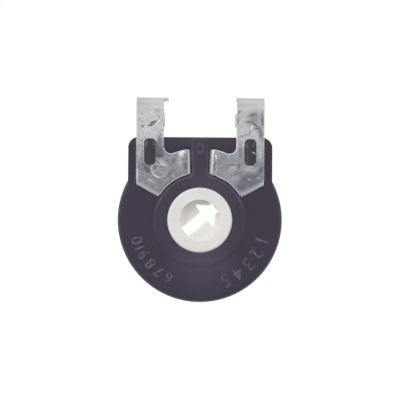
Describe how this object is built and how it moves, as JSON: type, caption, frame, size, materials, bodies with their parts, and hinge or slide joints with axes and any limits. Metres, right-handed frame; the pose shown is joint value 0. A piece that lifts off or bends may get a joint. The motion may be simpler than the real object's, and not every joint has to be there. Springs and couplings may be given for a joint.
{
  "type": "trimmer potentiometer",
  "caption": "Single-turn carbon trimmer potentiometer for a circuit board: round moulded body with a flat-topped block, tinned bent legs and an off-white rotor with an arrow slot.",
  "frame": {"origin": "on the rotor's axis, in the plane of the circuit board where the leg shoulders sit", "axes": "+Z along the rotor's axis towards the front face, +Y towards the two end legs, +X to the right seen from the front"},
  "size_m": [0.015, 0.0186, 0.01],
  "materials": {
    "body_moulding": "dark violet, moulded, satin",
    "cover_moulding": "dark violet, moulded, matt",
    "rotor_moulding": "off-white, moulded, satin",
    "tinned_sheet": "hot-dip tinned, mottled",
    "spring_bronze": "rolled, bright",
    "phenolic_paper": "punched sheet, satin",
    "carbon_ink": "screen-printed, satin",
    "silver_ink": "screen-printed, matt"
  },
  "bodies": {
    "body": {"housing": "body_moulding", "rear_cover": "cover_moulding", "left_terminal": "tinned_sheet", "right_terminal": "tinned_sheet", "wiper_terminal": "tinned_sheet", "resistive_substrate": "phenolic_paper", "carbon_track": "carbon_ink", "silver_pads": "silver_ink"},
    "rotor": {"rotor": "rotor_moulding", "wiper": "spring_bronze"}
  },
  "joints": [
    {"name": "rotor_turn", "type": "hinge", "parent": "body", "child": "rotor", "pos_m": [0, 0, 0], "axis": [0, 0, 1], "range_deg": [-262.5, 2.5]}
  ]
}
